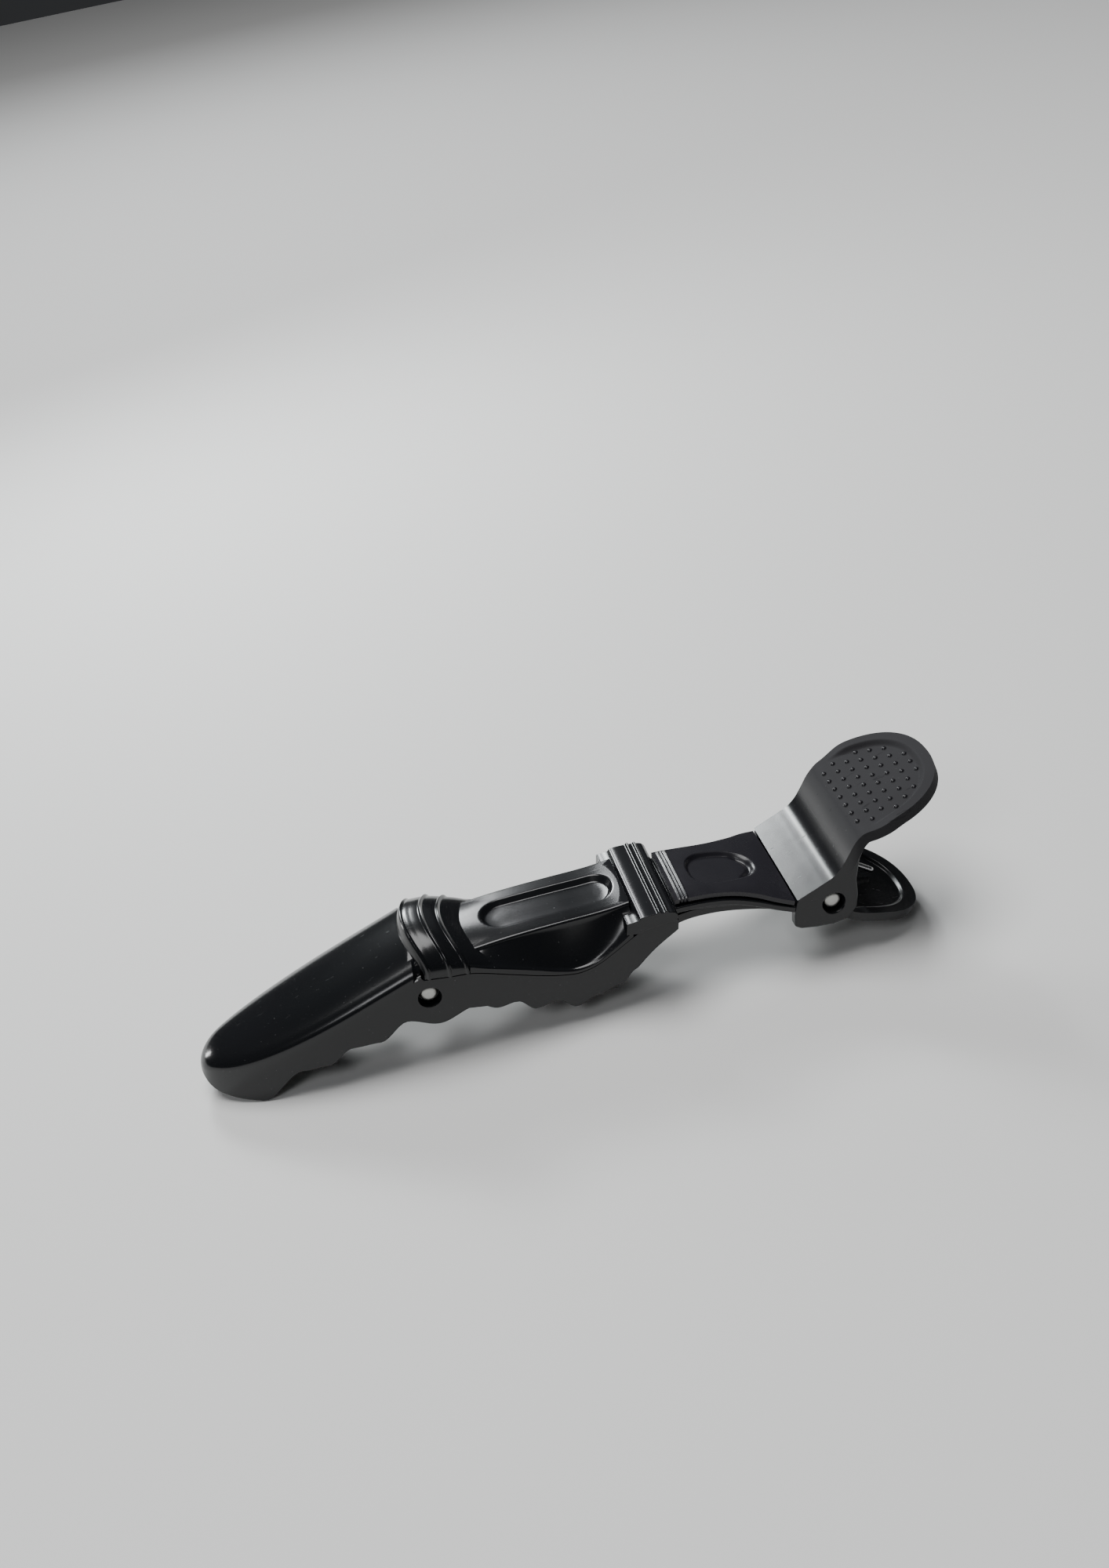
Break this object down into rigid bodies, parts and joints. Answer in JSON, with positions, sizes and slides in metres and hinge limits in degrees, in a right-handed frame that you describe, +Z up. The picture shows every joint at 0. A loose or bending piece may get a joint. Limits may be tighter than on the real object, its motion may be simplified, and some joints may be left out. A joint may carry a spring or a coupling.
{
  "type": "sectioning clip",
  "caption": "Crocodile hair sectioning clip: two sprung plastic levers, a rocking toothed front jaw, a flexible strap and steel hinge pins.",
  "frame": {"origin": "middle of the footprint, on the surface the clip stands on", "axes": "+X from the tip towards the thumb pads, +Y across the clip, +Z up, with the clip standing on its tip and its lower pad"},
  "size_m": [0.122, 0.0244, 0.0271],
  "materials": {
    "gloss_black": "glossy moulded black, a satin grain on the thumb pads",
    "soft_black": "satin soft-touch black",
    "pin_steel": "plain steel wire, cut ends",
    "spring_steel": "bright spring wire"
  },
  "bodies": {
    "upper": {"upper_lever": "gloss_black", "strap": "soft_black", "main_pin": "pin_steel", "front_pin": "pin_steel", "spring_coil": "spring_steel", "spring_upper_leg": "spring_steel"},
    "jaw": {"front_jaw": "gloss_black"},
    "lower": {"lower_lever": "gloss_black", "spring_lower_leg": "spring_steel"}
  },
  "joints": [
    {"name": "main_hinge", "type": "hinge", "parent": "upper", "child": "lower", "pos_m": [0.04024, 0, 0.01069], "axis": [0, -1, 0], "range_deg": [0, 35], "stiffness_Nm_per_rad": 0.08, "springref_deg": -34.38},
    {"name": "jaw_rock", "type": "hinge", "parent": "upper", "child": "jaw", "pos_m": [-0.02389, 0, 0.01249], "axis": [0, 1, 0], "range_deg": [0, 6]}
  ]
}
